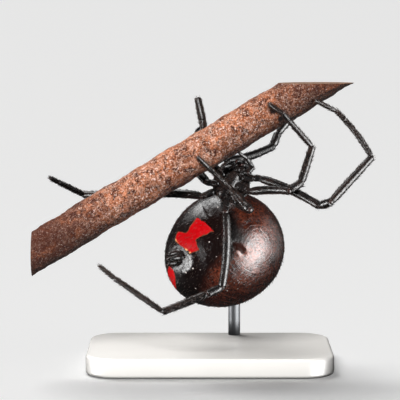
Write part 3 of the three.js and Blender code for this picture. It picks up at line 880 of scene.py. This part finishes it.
collar_profile = [(0, 0.9), (0.3, 1.02), (0.6, 1), (0.8, 0.92), (0.92, 0.8), (1, 0.62)]
collar_ends = off_abdomen(spinneret_angle, 0, -0.5), off_abdomen(spinneret_angle, 0, collar_height * 0.6)
add_skin(*straight_form(*collar_ends, collar_radius, collar_profile, 40, cap=0.05), "shell", 0, collar_hair)
cone_profile = [(0, 0.92), (0.25, 1), (0.5, 0.98), (0.62, 0.84), (0.8, 0.76), (0.93, 0.55), (1, 0.3)]
for ahead, out, length, thickness in spinneret_cones:
    for hand in (1, -1) if out else (1,):
        foot = off_abdomen(spinneret_angle + ahead, hand * out, -0.1)
        tip = off_abdomen(spinneret_angle + ahead * 0.8, hand * out * 0.7, length)
        cone = straight_form(foot, tip, thickness / 2, cone_profile, 20)
        add_skin(*cone, "shell", tip - foot, cone_hair)


# Legs
# Eight glossy black legs of seven hollow segments. Each is narrow at its root, swells, and flares to a
# rim round the next one's root, where a reddish-brown membrane shows.

coxa_pitch = 0.7
first_coxa = 0.82
coxa_height = -0.5
# For each pair of legs, from the front: the hip's degrees off straight ahead, its reach, and the lengths
# of the segments in the order of their names.
hip_fan = (48, 80, 122, 149)
hip_reach = (2.4, 1.85, 1.95, 2.5)
segment_names = ("femur", "patella", "tibia", "metatarsus", "tarsus")
segment_lengths = (
    (6, 1.25, 5.3, 4.7, 1.85),
    (3.95, 1.2, 3.1, 3.55, 1.45),
    (3.2, 0.9, 2.05, 2.5, 1.3),
    (6, 1.25, 4, 4.95, 1.7),
)
segment_radii = {
    "coxa": 0.29, "trochanter": 0.27, "femur": 0.34, "patella": 0.33, "tibia": 0.305, "metatarsus": 0.205,
    "tarsus": 0.155,
}
segment_hair = {
    "coxa": 0.4, "trochanter": 0.4, "femur": 0.6, "patella": 1, "tibia": 1.4, "metatarsus": 2.8, "tarsus": 5,
}
coxa_share = 0.66
joint_share = 0.74
leg_sides = 24
tarsus_end_gap = 0.12

# The pose: the hip's height and, where a leg has its own, its reach; each segment's bearing and climb in
# degrees; the femur's bow and the metatarsus's arch in millimetres; and for a foot on the stick how far
# along it and how far round from the front it grips.
leg_pose = {
    "leg_left_1": {"hip": -0.2, "femur": (-36, -18), "patella": (-47, 19), "tibia": (36, 38.5),
                   "metatarsus": (153.5, 49), "grip": (9, -40), "bow": (0, 0, 0.2),
                   "arch": (0.13, 0, 0.12)},
    "leg_left_2": {"hip": -0.3, "femur": (-41, 4.5), "patella": (24, 29.5), "tibia": (51, 62),
                   "metatarsus": (-167.5, 48), "grip": (5.7, 21), "bow": (0, 0, 0.1)},
    "leg_left_3": {"hip": -0.6, "femur": (-74, -3), "patella": (124.5, 26.5), "tibia": (120.5, 27.5),
                   "metatarsus": (176, 43.5), "grip": (-1.3, -3), "bow": (0, 0, 0)},
    "leg_left_4": {"hip": -0.9, "femur": (-100.5, -75.5), "patella": (-166.5, -24.5), "tibia": (166, -23),
                   "metatarsus": (153.5, 29), "tarsus": (155, 33), "bow": (0.22, -0.1, 0)},
    "leg_right_1": {"hip": -0.05, "reach": 1.9, "femur": (49.5, 8), "patella": (59.5, 51.5),
                    "tibia": (30, 45), "metatarsus": (-110, 0), "grip": (8, 180), "bow": (0, 0, -0.2)},
    "leg_right_2": {"hip": -0.2, "femur": (119.5, 39.5), "patella": (-58, 27.5), "tibia": (103, 46),
                    "metatarsus": (-82.5, -26.5), "grip": (0.2, 127), "bow": (0, 0, 0)},
    "leg_right_3": {"hip": -0.3, "femur": (124, 30), "patella": (103, 34.5), "tibia": (95, 14),
                    "metatarsus": (-82, -2), "grip": (-1.9, 175), "bow": (0, 0, 0)},
    "leg_right_4": {"hip": -0.3, "femur": (163, -1), "patella": (151.5, -4), "tibia": (138.5, -2.7),
                    "metatarsus": (-112, 17), "tarsus": (-111, 17), "bow": (0, 0, 0.2)},
}

# How thick a segment is along its length: shares of its length and of its radius.
long_profile = [
    (0, 0.5), (0.012, 0.62), (0.03, 0.78), (0.06, 0.9), (0.12, 0.97), (0.22, 1), (0.34, 1.01), (0.46, 1),
    (0.58, 0.98), (0.7, 0.95), (0.82, 0.92), (0.91, 0.92), (0.96, 0.94), (0.98, 0.93), (0.994, 0.84),
    (1.004, 0.6),
]
short_profile = [
    (0, 0.5), (0.05, 0.7), (0.12, 0.88), (0.25, 0.98), (0.4, 1.02), (0.6, 1), (0.78, 0.96), (0.9, 0.98),
    (0.97, 0.96), (1, 0.86), (1.01, 0.6),
]
tarsus_profile = [
    (0, 0.6), (0.03, 0.8), (0.1, 0.98), (0.25, 1), (0.45, 0.98), (0.65, 0.92), (0.8, 0.85), (0.92, 0.75),
    (0.98, 0.6), (1, 0.35),
]
claw_roots = []
joint_globe, joint_faces = globe_grid(4)
for page, (name, plan) in enumerate(leg_pose.items()):
    pair = int(name[-1]) - 1
    hand = 1 if "left" in name else -1
    fan = math.radians(hip_fan[pair])
    reach = plan.get("reach", hip_reach[pair])
    coxa_root = on_fore_body((first_coxa - coxa_pitch * pair, hand * sternum_half_width * 0.8, coxa_height))
    hip = on_fore_body((reach * math.cos(fan), hand * reach * math.sin(fan), plan["hip"]))
    ring = coxa_root + (hip - coxa_root) * coxa_share
    for start, end, segment in ((coxa_root, ring, "coxa"), (ring, hip, "trochanter")):
        form = straight_form(start, end, segment_radii[segment], short_profile, leg_sides)
        add_skin(*form, "shell", hip - ring, segment_hair[segment], (2, page))
    joints = [ring, hip]
    joint_radii = [segment_radii["trochanter"], segment_radii["femur"]]
    for order, segment in enumerate(segment_names):
        start = joints[-1]
        if segment in plan:
            end = start + heading(*plan[segment]) * segment_lengths[pair][order]
        else:
            end = perch_point(*plan["grip"], perch_radius + tarsus_end_gap)
        profile = {"patella": short_profile, "tarsus": tarsus_profile}.get(segment, long_profile)
        bow = {"femur": plan["bow"], "metatarsus": plan.get("arch", (0, 0, 0))}.get(segment, (0, 0, 0))
        form = straight_form(start, end, segment_radii[segment], profile, leg_sides, bow)
        along = (end - start) / np.linalg.norm(end - start)
        add_skin(*form, "shell", along, segment_hair[segment], (3 + order, page))
        joints.append(end)
        joint_radii.append(segment_radii[segment_names[min(order + 1, 4)]])
    for joint, radius in zip(joints[:-1], joint_radii):
        add_skin(joint_globe * radius * joint_share + joint, joint_faces, "membrane")
    claw_roots.append((joints[-1], joints[-1] - joints[-2], pair))

membrane, tree, shader = new_material("membrane", {"Roughness": 0.38, "Specular IOR Level": 0.6})
tint = clouds_of(place_from(), 6, 3)
set_inputs(shader, {"Base Color": mixed(tint, (0.005, 0.003, 0.0025, 1), (0.03, 0.01, 0.007, 1))})


# Mouthparts
# Two short upright jaws under the face and a pair of feelers, each of four small segments.

jaw_radius = 0.25
jaw_hair = 0.5
jaw_profile = [
    (0, 0.8), (0.12, 0.96), (0.3, 1), (0.5, 0.97), (0.7, 0.88), (0.85, 0.78), (0.95, 0.66), (1, 0.45)
]
jaw_tips = []
for hand in (1, -1):
    base = on_fore_body((1.76, hand * 0.32, -0.1))
    tip = on_fore_body((1.72, hand * 0.3, -1.12))
    jaw = straight_form(base, tip, jaw_radius, jaw_profile, 28)
    add_skin(*jaw, "shell", tip - base, jaw_hair, (8, 0))
    jaw_tips.append((tip, tip - base))

palp_routes = [
    [(1.25, 0.6, -0.75), (1.45, 1, -0.95), (2, 1, -0.75), (2.3, 0.4, -1.4), (2.3, -0.25, -2.05)],
    [(1.25, -0.6, -0.75), (0.75, -0.85, -1.3), (0.4, -0.75, -1.75), (0.85, -0.7, -1.95), (1.3, -0.5, -2)],
]
palp_radii = (0.17, 0.18, 0.17, 0.15)
palp_joint_share = 0.82
palp_hair = 1.2
for number, route in enumerate(palp_routes):
    joints = on_fore_body(route)
    for order, radius in enumerate(palp_radii):
        start, end = joints[order], joints[order + 1]
        profile = tarsus_profile if order == 3 else short_profile
        form = straight_form(start, end, radius, profile, 20)
        add_skin(*form, "shell", end - start, palp_hair, (9, number))
        if order:
            add_skin(joint_globe * radius * palp_joint_share + start, joint_faces, "membrane")


# The skin
# All the forms above as one hollow outer skin, so that no seam shows between body and limbs.

skin_corners, skin_faces, skin_finishes, skin_lie, skin_hair, skin_laid = [], [], [], [], [], []
finishes = ["abdomen", "shell", "membrane"]
for corners, faces, finish, lie, hair, laid in skin_parts:
    start = len(skin_corners)
    skin_corners.extend(corners)
    skin_faces.extend([[k + start for k in face] for face in faces])
    skin_finishes.extend([finishes.index(finish)] * len(faces))
    skin_lie.extend(lie)
    skin_hair.extend([hair] * len(corners))
    skin_laid.extend(laid)
skin = mesh_object("spider_skin", skin_corners, skin_faces, abdomen_skin, shell, membrane)
skin.data.polygons.foreach_set("material_index", skin_finishes)
flesh = ["abdomen", "pedicel", "spinnerets", "cephalothorax", "chelicera_left", "chelicera_right"]
flesh += ["palp_left", "palp_right", *leg_pose]
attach(skin, "root")
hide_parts(*flesh)


# Bristles
# Short dark hairs over the whole skin, densest on the feet. They lean towards the tips of the limbs
# and towards the rear of the abdomen.

bristle_density = 30
bristle_length = 0.26
bristle_thickness = 0.018
bristle_lean = 0.7
bristle_curl = 0.3
bristle_stray = 0.22
bristle_least = 0.55
bristle_most = 1.25
bristle_seed = 7
# How far one hair reaches on the flat sheet, whose side is 1.
bristle_patch = 0.0015


def new_geometry_tree(name, sizes):
    """A geometry tree with a mesh in and out and the sizes as named inputs, and the sockets they give."""
    made = bpy.data.node_groups.new(name, "GeometryNodeTree")
    made.interface.new_socket(name="Geometry", in_out="INPUT", socket_type="NodeSocketGeometry")
    for size, value in sizes.items():
        whole = isinstance(value, int)
        kind = "NodeSocketInt" if whole else "NodeSocketFloat"
        made.interface.new_socket(name=size, in_out="INPUT", socket_type=kind)
    made.interface.new_socket(name="Geometry", in_out="OUTPUT", socket_type="NodeSocketGeometry")
    return made, made.nodes.new("NodeGroupInput").outputs


def grown_on(carrier, name, sizes):
    """The plain mesh object that the tree that is being made grows on a copy of the carrier."""
    ground = bpy.data.objects.new(name + "_ground", carrier.data.copy())
    scene.collection.objects.link(ground)
    grower = ground.modifiers.new(name, "NODES")
    grower.node_group = tree
    for socket in tree.interface.items_tree:
        if socket.in_out == "INPUT" and socket.name in sizes:
            grower[socket.identifier] = sizes[socket.name]
    view = bpy.context.evaluated_depsgraph_get()
    grown = ground.evaluated_get(view)
    mesh = bpy.data.meshes.new_from_object(grown, preserve_all_data_layers=True, depsgraph=view)
    mesh.name = name
    bpy.data.objects.remove(ground)
    made = bpy.data.objects.new(name, mesh)
    scene.collection.objects.link(made)
    return made


def store(geometry, name, value, kind="FLOAT_VECTOR", domain="POINT"):
    """The geometry with a named attribute stored on it."""
    inputs = {"Geometry": geometry, "Name": name, "Value": value}
    node = add_node("GeometryNodeStoreNamedAttribute", inputs, data_type=kind, domain=domain)
    return node.outputs["Geometry"]


def read(name, kind="FLOAT_VECTOR"):
    """A named attribute of the geometry."""
    node = add_node("GeometryNodeInputNamedAttribute", {"Name": name}, data_type=kind)
    return node.outputs["Attribute"]


skin_layers = (
    ("lie", skin_lie, "FLOAT_VECTOR"), ("laid", skin_laid, "FLOAT_VECTOR"), ("hair", skin_hair, "FLOAT")
)
for name, values, kind in skin_layers:
    layer = skin.data.attributes.new(name, kind, "POINT")
    layer.data.foreach_set("value" if kind == "FLOAT" else "vector", np.asarray(values, float).ravel())

bristle_horn, tree, shader = new_material("bristle_horn", {"Roughness": 0.35, "Specular IOR Level": 0.5})
tint = clouds_of(place_from(), 0.9, 2)
set_inputs(shader, {"Base Color": mixed(tint, (0.008, 0.005, 0.004, 1), (0.05, 0.028, 0.02, 1))})

sizes = {
    "Density": float(bristle_density) / mm**2,
    "Length": bristle_length * mm,
    "Thickness": bristle_thickness * mm,
    "Seed": bristle_seed,
}
tree, given = new_geometry_tree("bristle_growth", sizes)
spread = calculate("MULTIPLY", read("hair", "FLOAT"), given["Density"])
roots = add_node(
    "GeometryNodeDistributePointsOnFaces",
    {"Mesh": given["Geometry"], "Density": spread, "Seed": given["Seed"]},
    distribute_method="RANDOM",
)
hair_cone = add_node(
    "GeometryNodeMeshCone",
    {"Vertices": 3, "Side Segments": 2, "Radius Top": 0.0, "Radius Bottom": 1.0, "Depth": 1.0},
).outputs["Mesh"]
cone_place = add_node("GeometryNodeInputPosition").outputs[0]
cone_parts = add_node("ShaderNodeSeparateXYZ", {"Vector": cone_place}).outputs
bent = calculate("MULTIPLY", calculate("POWER", cone_parts["Z"], 2.0), given["Length"])
wide = calculate("MULTIPLY", cone_parts["X"], given["Thickness"])
leant = calculate("MULTIPLY_ADD", bent, bristle_curl, wide)
deep = calculate("MULTIPLY", cone_parts["Y"], given["Thickness"])
tall = calculate("MULTIPLY", cone_parts["Z"], given["Length"])
shaped = add_node("ShaderNodeCombineXYZ", {"X": leant, "Y": deep, "Z": tall}).outputs[0]
patch = on_places("MULTIPLY", cone_place, (bristle_patch,) * 3)
one_hair = store(hair_cone, "patch", patch)
one_hair = add_node("GeometryNodeSetPosition", {"Geometry": one_hair, "Position": shaped}).outputs[0]
leaning_out = on_places("MULTIPLY", roots.outputs["Normal"], (bristle_lean,) * 3)
stray = add_node(
    "FunctionNodeRandomValue",
    {"Min": (-bristle_stray,) * 3, "Max": (bristle_stray,) * 3, "Seed": given["Seed"]},
    data_type="FLOAT_VECTOR",
).outputs[0]
lie_stray = on_places("ADD", on_places("NORMALIZE", read("lie")), stray)
aim = on_places("ADD", lie_stray, leaning_out)
upright = add_node("FunctionNodeAlignRotationToVector", {"Vector": aim}, axis="Z").outputs[0]
tipped = add_node(
    "FunctionNodeAlignRotationToVector",
    {"Rotation": upright, "Vector": lie_stray},
    axis="X",
    pivot_axis="Z",
).outputs[0]
growth = add_node(
    "FunctionNodeRandomValue",
    {2: bristle_least, 3: bristle_most, "Seed": given["Seed"]},
    data_type="FLOAT",
).outputs[1]
planted = add_node(
    "GeometryNodeInstanceOnPoints",
    {"Points": roots.outputs["Points"], "Instance": one_hair, "Rotation": tipped, "Scale": growth},
).outputs[0]
realized = add_node("GeometryNodeRealizeInstances", {"Geometry": planted}).outputs[0]
flat_place = on_places("ADD", read("laid"), read("patch"))
mapped = store(realized, "OFBake", flat_place, "FLOAT2", "CORNER")
finished = add_node("GeometryNodeSetMaterial", {"Geometry": mapped, "Material": bristle_horn}).outputs[0]
add_node("NodeGroupOutput", {"Geometry": finished})
bristles = grown_on(skin, "bristles", sizes)
for spare in ("lie", "laid", "hair", "patch"):
    if spare in bristles.data.attributes:
        bristles.data.attributes.remove(bristles.data.attributes[spare])
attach(bristles, "root")
for spare in ("lie", "laid", "hair"):
    skin.data.attributes.remove(skin.data.attributes[spare])


# Claws and fangs
# Each foot ends in a pair of curved dark claws with a small hook between them; each jaw ends in a
# short curved fang that folds inwards.

# The claws of a foot: how far to the side each stands, and its length.
claw_set = ((0.05, 0.2), (-0.05, 0.2), (0, 0.13))
claw_radius = 0.032
claw_seat = 0.06
gripping_reach = 2.2
fang_length = 0.36
fang_radius = 0.09

claw_horn, tree, shader = new_material("claw_horn", {"Roughness": 0.22, "Coat Weight": 0.3})
tint = clouds_of(place_from(), 2.2, 2)
set_inputs(shader, {"Base Color": mixed(tint, (0.012, 0.005, 0.004, 1), (0.07, 0.018, 0.012, 1))})


def curved_spike(root, forward, inward, length, radius):
    """A tapering spike that starts forward and curls inward."""
    forward = np.asarray(forward, float) / np.linalg.norm(forward)
    inward = np.asarray(inward, float) - forward * np.dot(inward, forward)
    inward /= np.linalg.norm(inward)
    turn = np.linspace(0, 1.35, 9)
    route = root + length * (np.outer(np.sin(turn), forward) + np.outer(1 - np.cos(turn), inward)) / 1.3
    return tube(route, radius * (1 - 0.85 * np.linspace(0, 1, 9)), 8)


claw_corners, claw_faces = [], []
for tip, forward, pair in claw_roots:
    forward = forward / np.linalg.norm(forward)
    to_stick = perch_centre + perch_axis * np.dot(tip - perch_centre, perch_axis) - tip
    inward = to_stick if np.linalg.norm(to_stick) < gripping_reach else np.array((0, 0, -1.0))
    across = np.cross(forward, inward)
    across /= np.linalg.norm(across)
    for out, length in claw_set:
        root = tip - forward * claw_seat + across * out
        corners, faces = curved_spike(root, forward + across * out * 5, inward, length, claw_radius)
        faces = turned_outward(corners - corners.mean(0), faces)
        claw_faces.extend([[k + len(claw_corners) for k in face] for face in faces])
        claw_corners.extend(corners)
claws = mesh_object("claws", claw_corners, claw_faces, claw_horn)
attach(claws, "root")
for (tip, forward), name, hand in zip(jaw_tips, ("left", "right"), (1, -1)):
    inward = on_fore_body((-1, -hand * 0.6, 0)) - fore_centre
    root = tip - forward * claw_seat
    corners, faces = curved_spike(root, forward, inward, fang_length, fang_radius)
    faces = turned_outward(corners - corners.mean(0), faces)
    fang = mesh_object("fang_" + name, corners, faces, claw_horn)
    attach(fang, "root")


# Eyes
# Eight small round lenses in two rows across the front of the head, each bulging from the shell.

eye_radius = 0.115
# Each row: how far forward and how high it lies, and how far out its inner and its outer lenses sit.
eye_rows = {"anterior": (1.86, 0.34, 0.2, 0.52), "posterior": (1.62, 0.66, 0.2, 0.58)}
outer_back = 0.18
outer_down = 0.06

lens_globe, lens_faces = globe_grid(8)
lens_faces = turned_outward(lens_globe, lens_faces)
eye_finish = {"Roughness": 0.04, "Coat Weight": 1, "Specular IOR Level": 0.8}
eye_glass, tree, shader = new_material("eye_glass", eye_finish)
depth = clouds_of(place_from(), 9, 2)
set_inputs(shader, {"Base Color": mixed(depth, (0.004, 0.003, 0.003, 1), (0.03, 0.018, 0.012, 1))})
for row, (forward, up, inner, outer) in eye_rows.items():
    for order, (out, seat) in enumerate(((inner, "median"), (outer, "lateral"))):
        for hand, name in ((1, "left"), (-1, "right")):
            centre = (forward - outer_back * order, hand * out, up - outer_down * order)
            lens_corners = on_fore_body(lens_globe * eye_radius + centre)
            eye = mesh_object(f"lens_{row}_{seat}_{name}", lens_corners, lens_faces, eye_glass)
            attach(eye, "root")
            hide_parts(f"eye_{row}_{seat}_{name}")
